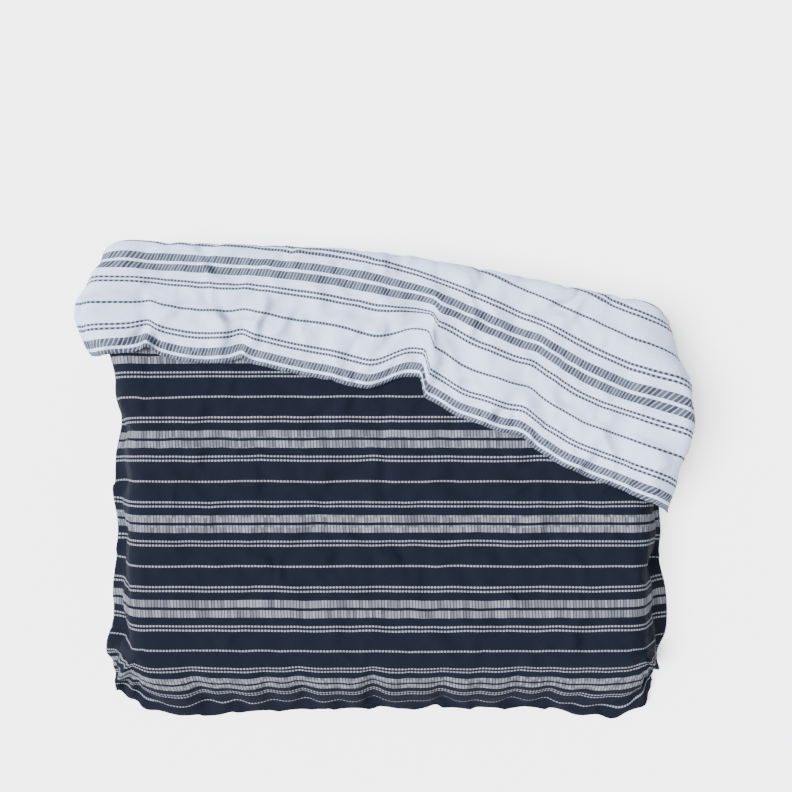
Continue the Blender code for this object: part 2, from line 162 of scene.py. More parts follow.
def hang(length, slope):
    """Underside of the hanging part: run out, height and slope angle after this length."""
    outer = (EDGE_RADIUS + LOFT) * slope
    inner = (FLOOR_RADIUS - LOFT) * slope
    bends = (EDGE_RADIUS + FLOOR_RADIUS) * (1 - np.cos(slope))
    straight = (MATTRESS_HEIGHT - bends) / np.sin(slope)
    angle = np.minimum(length / (EDGE_RADIUS + LOFT), slope)
    along = np.clip(length - outer, 0, straight)
    run = EDGE_RADIUS * np.sin(angle) + along * np.cos(slope)
    height = -EDGE_RADIUS * (1 - np.cos(angle)) - along * np.sin(slope)
    past = np.maximum(length - outer - straight, 0)
    level = np.maximum(slope - past / (FLOOR_RADIUS - LOFT), 0)
    run += FLOOR_RADIUS * (np.sin(slope) - np.sin(level)) * (past > 0)
    run += np.maximum(past - inner, 0)
    height -= FLOOR_RADIUS * (np.cos(level) - np.cos(slope)) * (past > 0)
    return run, height, np.where(past > 0, level, angle)


def past_edges(s, t):
    """Distances past the mattress's side and foot edges."""
    return np.maximum(np.abs(s) - FLAT_HALF, 0), np.maximum(FOOT_HANG - t, 0)


def drape(s, t, height):
    """Points at this height over the bed-side surface, s across and t from the foot hem."""
    over_side, over_foot = past_edges(s, t)
    x = np.clip(s, -FLAT_HALF, FLAT_HALF)
    y = FLAT_FOOT + np.maximum(t - FOOT_HANG, 0)
    heading = np.arctan2(over_foot, over_side)
    slope = mix(SIDE_SLOPE, FOOT_SLOPE, heading / (math.pi / 2))
    length = (over_side ** CORNER_POWER + over_foot ** CORNER_POWER) ** (1 / CORNER_POWER)
    run, z, angle = hang(length + hem_reach(s, t), slope)
    run = run + height * np.sin(angle)
    z = z + height * np.cos(angle)
    return np.stack([x + np.sign(s) * run * np.cos(heading),
                     y - run * np.sin(heading), z], axis=-1)


def laid(u, v, rise):
    """Places on the bed of points of the duvet."""
    start = CUT_LENGTH - turn_back(u)
    lean = mix(LEAN_LEFT, LEAN_RIGHT, (u + HALF) / (2 * HALF))
    back_x, back_y = -np.sin(lean), -np.cos(lean)
    here = loft(u, v)
    under = drape(u, v, rise + swell(u, v))

    share = np.clip((v - start) / FOLD_LENGTH, 0, 1)
    turn = math.pi * (share - 0.5)
    radius = here - rise + FOLD_GAP / 2
    reach = radius * np.cos(turn)
    s = u - back_x * share * reach
    t = start + mix(1, -back_y, share) * reach
    level = here + FOLD_GAP / 2 + radius * np.sin(turn)
    around = drape(s, t, level + swell(s, t))

    past = past_fold(u, v) + slip(u, v)
    s = u + back_x * past
    t = start + back_y * past
    over = drape(s, t, loft(s, t) + FOLD_GAP + here - rise + swell(s, t) + pleats(u, v))
    folded = (v > start)[..., None]
    flap = (v > start + FOLD_LENGTH)[..., None]
    return np.where(flap, over, np.where(folded, around, under))


def long_waves(s, t, shortest, longest, seed, count=22):
    """Sum of straight waves in all directions, the long ones high; about -1 to 1."""
    draw = np.random.default_rng(seed)
    total, most = 0.0, 0.0
    for length in np.geomspace(shortest, longest, count):
        turn, start = draw.uniform(0, 2 * math.pi, 2)
        total = total + length * np.sin(
            (s * np.cos(turn) + t * np.sin(turn)) * 2 * math.pi / length + start)
        most += length
    return total * 3 / most


def crinkles(s, t, seed, count=14):
    """Short sharp-crested creases in all directions, where the cloth has room; 0 to about 1."""
    draw = np.random.default_rng(seed)
    total = 0.0
    for length in np.geomspace(*CREASE_LENGTHS, count):
        turn, start, window = draw.uniform(0, 2 * math.pi, 3)
        across = (s * np.cos(turn) + t * np.sin(turn)) * math.pi / length + start
        down = (t * np.cos(turn) - s * np.sin(turn)) * math.pi / (2.2 * length) + window
        bend = 0.35 * np.sin(down * 1.7 + start)
        crest = (1 - np.abs(np.sin(across + bend))) ** 6
        total = total + crest * np.maximum(np.sin(down), 0) ** 2 * length / FULL_CREASE
    return total


def near_zip(s, t):
    """1 round the zip, where the bed-side panel stays flat, and 0 away from it."""
    along = 1 - smooth(CALM_BY_ZIP, FREE_FROM_ZIP, np.abs(s))
    return along * smooth(0.035, 0.075, t) * (1 - smooth(0.130, 0.200, t))


def under_ends(s, t):
    """1 below the two ends of the turned-back part, where the sides are pushed out."""
    return by_side(s, t, LEFT_END, RIGHT_END)


def swell(s, t):
    """How far the whole duvet stands off the bed where it lies in soft waves."""
    over_side, over_foot = past_edges(s, t)
    hand = np.sign(s)
    height = WAVE_HEIGHT * (long_waves(s, t, 0.16, 0.70, seed=3) + crinkles(s, t, seed=23))
    # folds that run down the two sides
    down = wave(t, SIDE_FOLD_PITCH, 1.1 * hand + 0.5 * np.sin(t * 9))
    down = down + 0.6 * wave(t, SMALL_FOLD_PITCH, 2.0 * hand)
    height = height + SIDE_FOLD_HEIGHT * (down + 0.4) * smooth(0.03, 0.24, over_side)
    # gathers that fan out round the foot corners
    heading = np.arctan2(over_foot, over_side)
    fan = np.sin(2 * heading) ** 2 * smooth(0.04, 0.22, np.minimum(over_side, over_foot) * 1.5)
    for high, count, shift in GATHERS:
        height = height + high * (1 + np.sin(heading * count + shift * hand)) * fan
    # the turned-back part pushes the sides out below its ends
    height = height + END_PUSH * under_ends(s, t) * smooth(-0.02, 0.14, over_side)
    return height * (1 - near_zip(s, t))


def hem_reach(s, t):
    """How much further than its even line the hem reaches out, all round."""
    over_side, over_foot = past_edges(s, t)
    heading = np.arctan2(over_foot, over_side)
    to_foot = np.sin(heading) ** 2
    zip_side = 1 - smooth(CALM_BY_ZIP, FREE_FROM_ZIP, np.abs(s))
    # along the foot, with a small ruffle in the hem itself
    foot = bells(s, FOOT_HEM_BELLS) - FOOT_HEM_IN
    foot = foot + sum(high * wave(s, length, shift) for high, length, shift in FOOT_HEM_WAVES)
    foot = foot * mix(1, 0.45, 1 - smooth(0.60, 0.75, np.abs(s)))
    ruffle = RUFFLE_HEIGHT * long_waves(s, 1.7 * t, 0.05, 0.22, seed=19)
    foot = foot + ruffle * smooth(0.20, 0.37, over_foot)
    beside_zip = mix(smooth(0.05, 0.30, over_foot), smooth(0.305, 0.372, over_foot), zip_side)
    # along the sides
    high, length, shift = SIDE_HEM_WAVE
    side = by_side(s, t, LEFT_HEM_BELLS, RIGHT_HEM_BELLS)
    side = side + high * wave(t, length, shift * np.sign(s))
    side = side * smooth(0.02, 0.24, over_side)
    # the corners are drawn in, and the ends of the turned-back part take some length up
    hem = np.minimum(over_side / (HALF - FLAT_HALF), over_foot / FOOT_HANG)
    corner = np.where(s < 0, CORNER_IN_LEFT, CORNER_IN_RIGHT) * np.sin(2 * heading) ** 2
    corner = corner * smooth(0.3, 1.0, hem)
    tip = np.where(s < 0, TIP_IN_LEFT, TIP_IN_RIGHT) * smooth(0.80, 1.0, hem)
    taken_up = np.minimum(TAKEN_UP_SHARE * over_side, MOST_TAKEN_UP) * under_ends(s, t)
    return foot * beside_zip * to_foot + side * (1 - to_foot) - corner - tip - taken_up


def past_fold(u, v):
    """Distance along the duvet from the end of the fold."""
    return v - (CUT_LENGTH - turn_back(u)) - FOLD_LENGTH


def slip(u, v):
    """How far the turned-back part has slid along itself: its free edge lies in steps."""
    high, length, shift = FREE_EDGE_WAVE
    edge = 0.016 * smooth(-1.0, -0.5, u) + 0.022 * smooth(0.35, 0.75, u)
    edge = edge + high * wave(u, length, shift) + bells(u, FREE_EDGE_BELLS)
    edge = edge - EDGE_STEP * smooth(-0.02, 0.14, u) * (1 - smooth(0.175, 0.215, u))
    return edge * smooth(0.02, 0.34, past_fold(u, v))


# Creases of the turned-back part: place across, length, width, height and turn of each
CREASES = [
    (-0.82, 0.26, 0.016, 0.018, 0.30), (-0.55, 0.22, 0.024, 0.014, -0.15),
    (-0.47, 0.30, 0.018, 0.014, 0.35), (-0.12, 0.24, 0.026, 0.014, -0.10),
    (0.185, 0.30, 0.022, 0.022, 0.10), (0.42, 0.24, 0.022, 0.013, 0.40),
    (0.60, 0.20, 0.026, 0.016, -0.20), (0.80, 0.26, 0.024, 0.014, 0.25),
    (0.98, 0.22, 0.018, 0.022, 0.10), (-1.03, 0.24, 0.028, 0.014, -0.10),
]


def pleats(u, v):
    """Height of the creases that run in from the free edge of the turned-back part."""
    in_from_edge = CUT_LENGTH - v
    past = past_fold(u, v)
    height = FLAP_WAVE_HEIGHT * long_waves(u, v, 0.09, 0.30, seed=11)
    height = height + FLAP_CREASE_HEIGHT * crinkles(u, v, seed=5)
    for across, length, width, high, turn in CREASES:
        off = u - across - turn * in_from_edge
        fade = 1 - smooth(0.35 * length, length, in_from_edge)
        height = height + 1.3 * high * bump(off, width + 0.10 * in_from_edge) * fade
    end = smooth(FLAT_HALF, HALF, np.abs(u)) * smooth(0.02, 0.20, past)
    return (height + FLAP_END_LIFT * end) * smooth(0.0, 0.06, past)


THIRD_BAFFLE = CUT_LENGTH - turn_back(HALF) - THIRD_ROW_CLEAR
MIDDLE_START = CUT_LENGTH - turn_back(0.0)


def skewed(row, u):
    """Measure v at this u of a row that is named by its v on the centre line."""
    start = CUT_LENGTH - turn_back(u)
    below = mix(THIRD_BAFFLE, start, (row - THIRD_BAFFLE) / (MIDDLE_START - THIRD_BAFFLE))
    last = MIDDLE_START + FOLD_LENGTH
    above = mix(start + FOLD_LENGTH, CUT_LENGTH, (row - last) / (CUT_LENGTH - last))
    folded = np.where(row <= last, start + row - MIDDLE_START, above)
    return np.where(row <= THIRD_BAFFLE, row + 0 * u, np.where(row <= MIDDLE_START, below, folded))


def inside(u, v):
    return np.minimum(HALF - np.abs(u), np.minimum(v, CUT_LENGTH - v))


def round_in(u, v, width):
    """0 on the seam, 1 from this width inwards, along a quarter of an ellipse."""
    share = np.clip(inside(u, v) / width, 0, 1)
    return np.sqrt(1 - (1 - share) ** 2)


def front_rise(u, v):
    """Height of the upper panel's outer face over the bed-side face, fuller over the foot edge."""
    seam = SEAM_LEVEL + CLOTH
    over_foot = np.maximum(FOOT_HANG - v, 0)
    folds = wave(u, FOOT_FOLD_PITCH, 0.8 * np.sin(u * 7)) + 0.7 * wave(u, SMALL_FOOT_FOLD_PITCH, 1)
    folds = FOOT_FOLD_HEIGHT * (1.3 + folds) * smooth(0.02, 0.22, over_foot)
    fullness = FOOT_EDGE_FULLNESS * bump(over_foot - 0.15, 0.11) * smooth(0, 0.05, over_foot)
    return mix(seam, loft(u, v) + folds + fullness, round_in(u, v, HEM_ROUND))


def back_rise(u, v):
    """Height of the bed-side panel's outer face, which rises to the seam."""
    seam = SEAM_LEVEL - CLOTH
    return seam * (1 - round_in(u, v, SEAM_INSET))


def spread(low, high, spacing):
    """Evenly spaced lines with both ends."""
    return np.linspace(low, high, max(int(round((high - low) / spacing)), 1) + 1)


def kept_in(points):
    """The points, eased back where they come near the top of the part's room or the floor."""
    height = points[..., 2]
    over = np.maximum(height - (CEILING - EASE_TOP), 0)
    under = np.maximum(FLOOR_LEVEL + EASE_FLOOR - height, 0)
    height = height - over + EASE_TOP * np.tanh(over / EASE_TOP)
    height = height + under - EASE_FLOOR * np.tanh(under / EASE_FLOOR)
    return np.concatenate([points[..., :2], height[..., None]], axis=-1)


def cover_lines(spacing):
    """Grid lines of the panels: across, and along with finer rows round the fold."""
    slot = (ZIP_FROM_HEM - SLOT_HALF, ZIP_FROM_HEM + SLOT_HALF)
    fold = (MIDDLE_START, MIDDLE_START + FOLD_LENGTH)
    across = np.concatenate([spread(-HALF, -SLOT_END, spacing),
                             spread(-SLOT_END, SLOT_END, spacing),
                             spread(SLOT_END, HALF, spacing)])
    along = np.concatenate([spread(0, slot[0], spacing), spread(*slot, 2 * SLOT_HALF),
                            spread(slot[1], fold[0], spacing), spread(*fold, spacing / 2),
                            spread(fold[1], CUT_LENGTH, spacing)])
    return np.unique(across.round(6)), np.unique(along.round(6))


def grid_spots(across, along):
    """Measures u and v of the points on these grid lines."""
    u = np.broadcast_to(across[None, :], (len(along), len(across)))
    return u, skewed(along[:, None], u)


def on_cut(u, v):
    """Places of these points on the flat cloth, before the filling drew its sides in."""
    return np.stack([u.ravel() / TAKE_UP, v.ravel()], axis=1)


def place_in_scene(name, mesh, material=None):
    piece = bpy.data.objects.new(name, mesh)
    bpy.context.scene.collection.objects.link(piece)
    if material:
        mesh.materials.append(material)
    return piece


def grid_faces(columns, rows):
    """Quads of a grid whose points run along the rows first."""
    corner = (np.arange(rows - 1)[:, None] * columns + np.arange(columns - 1)[None, :]).ravel()
    return np.stack([corner, corner + 1, corner + columns + 1, corner + columns], axis=1)


def bag_faces(columns, rows):
    """Quads of two grid layers that share their rim, and which grid points are on the rim."""
    rim = np.zeros((rows, columns), bool)
    rim[0], rim[-1], rim[:, 0], rim[:, -1] = True, True, True, True
    number = np.arange(rows * columns) + rows * columns
    number[rim.ravel()] = np.flatnonzero(rim.ravel())
    faces = grid_faces(columns, rows)
    return np.concatenate([faces, number[faces][:, ::-1]]), rim


def cloth_mesh(name, points, faces, cut):
    """Smooth mesh with its flat place on the cloth, in metres, as its UV map."""
    mesh = bpy.data.meshes.new(name)
    mesh.from_pydata(points.tolist(), [], faces.tolist())
    mesh.update()
    layer = mesh.uv_layers.new(name="cut")
    loops = np.zeros(len(mesh.loops), np.int32)
    mesh.loops.foreach_get("vertex_index", loops)
    layer.data.foreach_set("uv", cut[loops].astype(np.float32).ravel())
    mesh.polygons.foreach_set("use_smooth", [True] * len(mesh.polygons))
    return mesh


# Settling of the cover's cloth
SETTLE_GRID = 0.022
SETTLE_FRAMES = 16
MOST_SETTLE = 0.011         # how far a point of the cloth may move
IN_FOLD_SHARE = 0.3         # share of the move where the two front faces lie together
SPARE_CLOTH = 0.045         # share by which the cloth is wider than the filling
FRONT_HOLD, BACK_HOLD = 0.18, 0.30      # how firmly each panel is held in its place
COTTON = {
    "quality": 4,
    "mass": 0.25,
    "tension_stiffness": 12,
    "compression_stiffness": 12,
    "shear_stiffness": 4,
    "bending_stiffness": 0.8,
    "shrink_min": -SPARE_CLOTH,
    "use_pressure": True,
    "uniform_pressure_force": 1.5,
    "vertex_group_mass": "held",
}


def evened(field):
    """Each inner point of a grid, half its own value and half its neighbours'."""
    calm = field.copy()
    around = field[:-2, 1:-1] + field[2:, 1:-1] + field[1:-1, :-2] + field[1:-1, 2:]
    calm[1:-1, 1:-1] = field[1:-1, 1:-1] / 2 + around / 8
    return calm


def settle():
    """How the cover's two panels move as their cloth settles over the filling.

    The panels hang together on their seam, the filling presses them out and their cloth is a
    little too wide for it, so that it goes into soft wrinkles.  The zip and its surroundings
    stay as they are.  Returns the grid lines and the move of each panel's grid points.
    """
    across, along = cover_lines(SETTLE_GRID)
    u, v = grid_spots(across, along)
    rows, columns = u.shape
    count = rows * columns
    front_at = laid(u, v, front_rise(u, v)).reshape(-1, 3)
    back_at = laid(u, v, back_rise(u, v)).reshape(-1, 3)
    before = np.concatenate([front_at, back_at])
    shell, rim = bag_faces(columns, rows)
    mesh = bpy.data.meshes.new("settling")
    mesh.from_pydata(before.tolist(), [], shell.tolist())
    bag = place_in_scene("settling", mesh)

    held = bag.vertex_groups.new(name="held")
    flat = near_zip(u, v).ravel()
    for start, level in ((0, FRONT_HOLD), (count, BACK_HOLD)):
        weights = np.clip(level + flat * (start > 0), 0, 1)
        for step in range(11):
            picked = np.flatnonzero(np.round(weights * 10) == step)
            if len(picked):
                held.add((picked + start).tolist(), step / 10, "REPLACE")
    cloth = bag.modifiers.new("cloth", "CLOTH")
    for setting, value in COTTON.items():
        setattr(cloth.settings, setting, value)
    cloth.settings.effector_weights.gravity = 0
    cloth.collision_settings.use_collision = False
    cloth.point_cache.frame_end = SETTLE_FRAMES
    for moment in range(1, SETTLE_FRAMES + 1):
        bpy.context.scene.frame_set(moment)
    seen = bag.evaluated_get(bpy.context.evaluated_depsgraph_get())
    after = np.zeros(len(before) * 3)
    seen.data.vertices.foreach_get("co", after)
    bpy.data.objects.remove(bag)
    bpy.context.scene.frame_set(1)

    move = after.reshape(-1, 3) - before
    on_rim = np.flatnonzero(rim.ravel())
    move[count + on_rim] = move[on_rim]
    length = np.linalg.norm(move, axis=1, keepdims=True)
    move *= np.minimum(1, MOST_SETTLE / np.maximum(length, 1e-9))
    front_move = move[:count].reshape(rows, columns, 3)
    back_move = move[count:].reshape(rows, columns, 3)
    start = CUT_LENGTH - turn_back(u)
    free_edge = smooth(CUT_LENGTH - 0.10, CUT_LENGTH, v)
    together = smooth(start - 0.50, start - 0.42, v) * (1 - 0.6 * free_edge)
    front_move = evened(front_move * mix(1, IN_FOLD_SHARE, together)[..., None])
    back_move = evened(back_move) * (1 - near_zip(u, v))[..., None]
    seam = rim & (near_zip(u, v) < 0.01)
    back_move[seam] = front_move[seam]
    return across, along, {"front": front_move, "back": back_move}


def settled(side, across, along):
    """The settling move of one panel at these grid lines."""
    from_across, from_along, moves = SETTLED
    row_place = np.interp(along, from_along, np.arange(len(from_along)))
    column_place = np.interp(across, from_across, np.arange(len(from_across)))
    row, column = row_place.astype(int), column_place.astype(int)
    row = np.minimum(row, len(from_along) - 2)
    column = np.minimum(column, len(from_across) - 2)
    a, b = (row_place - row)[:, None, None], (column_place - column)[None, :, None]
    field = moves[side]
    low = mix(field[row][:, column], field[row][:, column + 1], b)
    high = mix(field[row + 1][:, column], field[row + 1][:, column + 1], b)
    return mix(low, high, a)


def panel(name, rise, side, material, slot=False):
    """One panel of the cover, laid on the bed, settled and given its thickness inwards."""
    across, along = cover_lines(GRID)
    u, v = grid_spots(across, along)
    points = kept_in(laid(u, v, rise(u, v)) + settled(side, across, along)).reshape(-1, 3)
    faces = grid_faces(len(across), len(along))
    if slot:
        middle_u = u.ravel()[faces].mean(axis=1)
        middle_v = v.ravel()[faces].mean(axis=1)
        open_cell = (np.abs(middle_u) < SLOT_END) & (np.abs(middle_v - ZIP_FROM_HEM) < SLOT_HALF)
        faces = faces[~open_cell]
    if side == "back":
        faces = faces[:, ::-1]
    piece = place_in_scene(name, cloth_mesh(name, points, faces, on_cut(u, v)), material)
    wall = piece.modifiers.new("thickness", "SOLIDIFY")
    wall.thickness = CLOTH
    wall.offset = -1
    wall.use_quality_normals = True
    return piece


def insert_shell(name, material):
    """Filled insert: a closed shell just inside the cover, drawn in along its baffles."""
    half = HALF - SEAM_INSET - INSERT_CLEAR
    ends = (SEAM_INSET + INSERT_CLEAR, CUT_LENGTH - SEAM_INSET - INSERT_CLEAR)
    fold = (MIDDLE_START, MIDDLE_START + FOLD_LENGTH)
    across = spread(-half, half, INSERT_GRID)
    along = np.unique(np.concatenate([spread(ends[0], fold[0], INSERT_GRID),
                                      spread(*fold, INSERT_FOLD_GRID),
                                      spread(fold[1], ends[1], INSERT_GRID)]).round(6))
    u, v = grid_spots(across, along)
    to_end = np.minimum(along[:, None] - ends[0], ends[1] - along[:, None])
    edge = np.minimum(half - np.abs(u), to_end)
    crown = np.sqrt(1 - (1 - np.clip(edge / INSERT_EDGE, 0, 1)) ** 2)
    column = np.abs(np.sin(math.pi * (u + HALF) / (2 * HALF) * COLUMNS)) ** 0.5
    row = np.abs(np.sin(math.pi * v / CUT_LENGTH * ROWS)) ** 0.5
    drawn_in = DRAWN_IN * (1 - np.minimum(column, row))
    top, bottom = front_rise(u, v) - INSERT_DEPTH - drawn_in, back_rise(u, v) + INSERT_DEPTH
    middle = (top + bottom) / 2
    front_move, back_move = settled("front", across, along), settled("back", across, along)
    between = (front_move + back_move) / 2
    layers = []
    for rise, move in ((top, front_move), (bottom, back_move)):
        at = laid(u, v, mix(middle, rise, crown)) + mix(between, move, crown[..., None])
        layers.append(kept_in(at).reshape(-1, 3))
    shell, _ = bag_faces(len(across), len(along))
    cut = np.concatenate([on_cut(u, v)] * 2)
    piece = place_in_scene(name, cloth_mesh(name, np.concatenate(layers), shell, cut), material)
    drop_loose(piece)
    return piece


def strip(name, u_ends, row_ends, rise, thick, material):
    """Flat tape that lies inside the cover between two measures across and along."""
    across, along = np.linspace(*u_ends, 4), np.linspace(*row_ends, 7)
    u, v = grid_spots(across, along)
    move = (settled("front", across, along) + settled("back", across, along)) / 2
    layers = [kept_in(laid(u, v, rise + high) + move).reshape(-1, 3) for high in (0, thick)]
    count, columns = u.size, len(across)
    number = np.arange(count).reshape(u.shape)
    rim = [*number[0], *number[1:, -1], *number[-1, -2::-1], *number[-2:0:-1, 0]]
    walls = [(a, b, b + count, a + count) for a, b in zip(rim, rim[1:] + rim[:1])]
    faces = grid_faces(columns, len(along))
    shell = np.concatenate([faces[:, ::-1], faces + count, np.array(walls)])
    cut = np.concatenate([on_cut(u, v)] * 2)
    return place_in_scene(name, cloth_mesh(name, np.concatenate(layers), shell, cut), material)


def drop_loose(piece):
    """Removes the points that no face uses."""
    bm = bmesh.new()
    bm.from_mesh(piece.data)
    for vert in [v for v in bm.verts if not v.link_faces]:
        bm.verts.remove(vert)
    bm.to_mesh(piece.data)
    bm.free()


# Materials

def colour(code):
    """Linear colour of an sRGB hex value."""
    channels = [int(code[i:i + 2], 16) / 255 for i in (1, 3, 5)]
    return (*[c / 12.92 if c <= 0.04045 else ((c + 0.055) / 1.055) ** 2.4 for c in channels], 1.0)


def add(tree, kind, links=None, **settings):
    """Adds a node with its settings; links maps its sockets to values or to other nodes."""
    node = tree.nodes.new(kind)
    for name, value in settings.items():
        setattr(node, name, value)
    for name, value in (links or {}).items():
        if isinstance(value, bpy.types.Node):
            value = value.outputs[0]
        if isinstance(value, bpy.types.NodeSocket):
            tree.links.new(value, node.inputs[name])
        else:
            node.inputs[name].default_value = value
    return node


def fresh(name):
    material = bpy.data.materials.new(name)
    material.use_nodes = True
    material.node_tree.nodes.clear()
    return material, material.node_tree


BAND_REPEAT = 0.300         # from one double band to the next
BAND_CENTRE = 0.0178        # from the middle of the double band to the middle of a band
BAND_HALF = 0.0128
LINES = (0.0620, 0.0765, 0.1500)
TICK_PITCH, TICK_EDGE = 0.0115, (0.14, 0.34)        # edge as shares of the pitch
DOT_PITCH, DOT_EDGE = 0.0120, (0.10, 0.28)
SLUBS = (60, 380, 1)        # uneven threads in a metre across and along
THREADS = 420
CREASES_PER_METRE = 8.0


def jacquard(name, ground, yarn, first_band, gloss, line_half, lean, weakest_float_and_glint, between_ticks,
             between_dots, crease_depth):
    """Jacquard-woven cotton, which gives the eye bands of short floats and dotted lines in a
    contrast yarn on a plain, matt and slightly slubbed ground."""
    material, tree = fresh(name)
    place = add(tree, "ShaderNodeUVMap", uv_map="cut")
    axes = add(tree, "ShaderNodeSeparateXYZ", {0: place})
    across, along = axes.outputs[0], axes.outputs[1]
    measure = add(tree, "ShaderNodeMath", {0: along, 1: first_band}, operation="SUBTRACT")
    distance = add(tree, "ShaderNodeMath", {0: measure, 1: BAND_REPEAT / 2}, operation="PINGPONG")
    band = add(tree, "ShaderNodeMath", {0: distance, 1: BAND_CENTRE, 2: BAND_HALF},
               operation="COMPARE")
    line = None
    for middle in LINES:
        stripe = add(tree, "ShaderNodeMath", {0: distance, 1: middle, 2: line_half},
                     operation="COMPARE")
        line = stripe if line is None else add(
            tree, "ShaderNodeMath", {0: line, 1: stripe}, operation="MAXIMUM")

    # Floats of the bands: one tick after another, each of its own strength at random; on the navy
    # this is painted glint of the pale floats
    leaning = add(tree, "ShaderNodeMath", {0: along, 1: lean, 2: across},
                  operation="MULTIPLY_ADD")
    tick_place = add(tree, "ShaderNodeMath", {0: leaning, 1: TICK_PITCH}, operation="DIVIDE")
    tick_number = add(tree, "ShaderNodeMath", {0: tick_place}, operation="FLOOR")
    tick_part = add(tree, "ShaderNodeMath", {0: tick_place}, operation="FRACT")
    tick_shape = add(tree, "ShaderNodeMapRange",
                     {"Value": tick_part, "From Min": TICK_EDGE[0], "From Max": TICK_EDGE[1],
                      "To Min": between_ticks})
    band_number = add(tree, "ShaderNodeMath", {0: measure, 1: 2 * BAND_CENTRE},
                      operation="DIVIDE")
    band_number = add(tree, "ShaderNodeMath", {0: band_number}, operation="ROUND")
    tick_key = add(tree, "ShaderNodeCombineXYZ", {0: tick_number, 1: band_number})
    tick_random = add(tree, "ShaderNodeTexWhiteNoise", {"Vector": tick_key})
    # strength of each float at random: painted glint on the pale yarn, a faint random tone on the
    # dark yarn
    float_tone_and_glint = add(tree, "ShaderNodeMapRange",
                     {"Value": tick_random, "To Min": weakest_float_and_glint, "To Max": 1.0})
    tick = add(tree, "ShaderNodeMath", {0: tick_shape, 1: float_tone_and_glint}, operation="MULTIPLY")

    # Dots of the lines
    dot_place = add(tree, "ShaderNodeMath", {0: across, 1: DOT_PITCH}, operation="DIVIDE")
    dot_part = add(tree, "ShaderNodeMath", {0: dot_place, 1: 0.5}, operation="PINGPONG")
    dot = add(tree, "ShaderNodeMapRange",
              {"Value": dot_part, "From Min": DOT_EDGE[0], "From Max": DOT_EDGE[1],
               "To Min": between_dots})

    tick = add(tree, "ShaderNodeMath", {0: band, 1: tick}, operation="MULTIPLY")
    dot = add(tree, "ShaderNodeMath", {0: line, 1: dot}, operation="MULTIPLY")
    figure = add(tree, "ShaderNodeMath", {0: tick, 1: dot}, operation="MAXIMUM")

    slub = add(tree, "ShaderNodeMapping", {"Vector": place, "Scale": SLUBS})
    slub = add(tree, "ShaderNodeTexNoise", {"Vector": slub, "Scale": 1.0, "Detail": 3.0})
    shade = add(tree, "ShaderNodeMapRange",
                {"Value": slub, "From Min": 0.3, "From Max": 0.7, "To Min": 0.90, "To Max": 1.10})
    # this node's colours are its inputs 6 and 7 and its output 2
    base = add(tree, "ShaderNodeMix", {0: figure, 6: colour(ground), 7: colour(yarn)},
               data_type="RGBA")
    base = add(tree, "ShaderNodeVectorMath", {0: base.outputs[2], 1: shade.outputs[0]},
               operation="MULTIPLY")

    # Threads about 0.6 mm apart are drawn 2.4 mm apart, so that they show
    thread = add(tree, "ShaderNodeMapping", {"Vector": place, "Scale": (1, 1.6, 1)})
    thread = add(tree, "ShaderNodeTexNoise", {"Vector": thread, "Scale": THREADS, "Detail": 2.0})
    height = add(tree, "ShaderNodeMath", {0: figure, 1: thread}, operation="ADD")
    # Shallow creases, sharper than the panels' mesh can hold
    crease = add(tree, "ShaderNodeTexNoise",
                 {"Vector": place, "Scale": CREASES_PER_METRE, "Detail": 2.0, "Roughness": 0.4,
                  "Distortion": 0.5},
                 noise_type="RIDGED_MULTIFRACTAL")
    creased = add(tree, "ShaderNodeBump",
                  {"Strength": 1.0, "Distance": crease_depth, "Height": crease})
    relief = add(tree, "ShaderNodeBump",
                 {"Strength": 0.35, "Distance": 0.0006, "Height": height, "Normal": creased})
    shader = add(tree, "ShaderNodeBsdfPrincipled",
                 {"Base Color": base, "Roughness": 0.85, "Specular IOR Level": gloss,
                  "Normal": relief})
    add(tree, "ShaderNodeOutputMaterial", {0: shader})
    return material


def plain(name, code, roughness, metallic=0.0, grain=600, relief=0.0002, specular=0.3):
    """Fine even material: its colour varies a little with a grain of this many a metre."""
    material, tree = fresh(name)
    place = add(tree, "ShaderNodeTexCoord")
    noise = add(tree, "ShaderNodeTexNoise",
                {"Vector": place.outputs["Object"], "Scale": grain, "Detail": 2.0})
    level = add(tree, "ShaderNodeMapRange",
                {"Value": noise, "From Min": 0.3, "From Max": 0.7, "To Min": 0.88, "To Max": 1.08})
    base = add(tree, "ShaderNodeVectorMath", {0: colour(code)[:3], 1: level},
               operation="MULTIPLY")
    surface = add(tree, "ShaderNodeBump", {"Strength": 0.3, "Distance": relief, "Height": noise})
    shader = add(tree, "ShaderNodeBsdfPrincipled",
                 {"Base Color": base, "Roughness": roughness, "Metallic": metallic,
                  "Specular IOR Level": specular, "Normal": surface})
    add(tree, "ShaderNodeOutputMaterial", {0: shader})
    return material


# Dark dyed ground with a pale yarn: almost no gloss; the floats' brightness varies one by one as
# painted glint
NAVY = jacquard("navy_jacquard_cotton", ground="#10131C", yarn="#6C6F78", first_band=0.203,
                gloss=0.02, line_half=0.0033, lean=0.05, weakest_float_and_glint=0.38, between_ticks=0.12,
                between_dots=0.10, crease_depth=0.022)
# Bleached ground with a grey yarn: a cool soft white whose creases show, with slanting floats
WHITE = jacquard("white_jacquard_cotton", ground="#ABB8D6", yarn="#2A2D35", first_band=0.080,
                 gloss=0.10, line_half=0.0041, lean=0.40, weakest_float_and_glint=0.90, between_ticks=0.55,
                 between_dots=0.66, crease_depth=0.046)
# Densely woven cotton: an even matt white
TICKING = plain("white_downproof_ticking", "#C9CCD2", 0.85, grain=900)

SETTLED = settle()
front = panel("duvet_cover_front", front_rise, "front", NAVY)
back = panel("duvet_cover_back", back_rise, "back", WHITE, slot=True)
insert = insert_shell("duvet_insert", TICKING)

fillings = [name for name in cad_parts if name.startswith("fill_row")]
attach(front, "duvet")
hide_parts("cover_front_panel")
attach(back, "duvet")
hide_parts("cover_back_panel")
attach(insert, "duvet")
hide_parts("insert_top_ticking", "insert_bottom_ticking", "insert_gusset",
            "insert_baffles", *fillings)

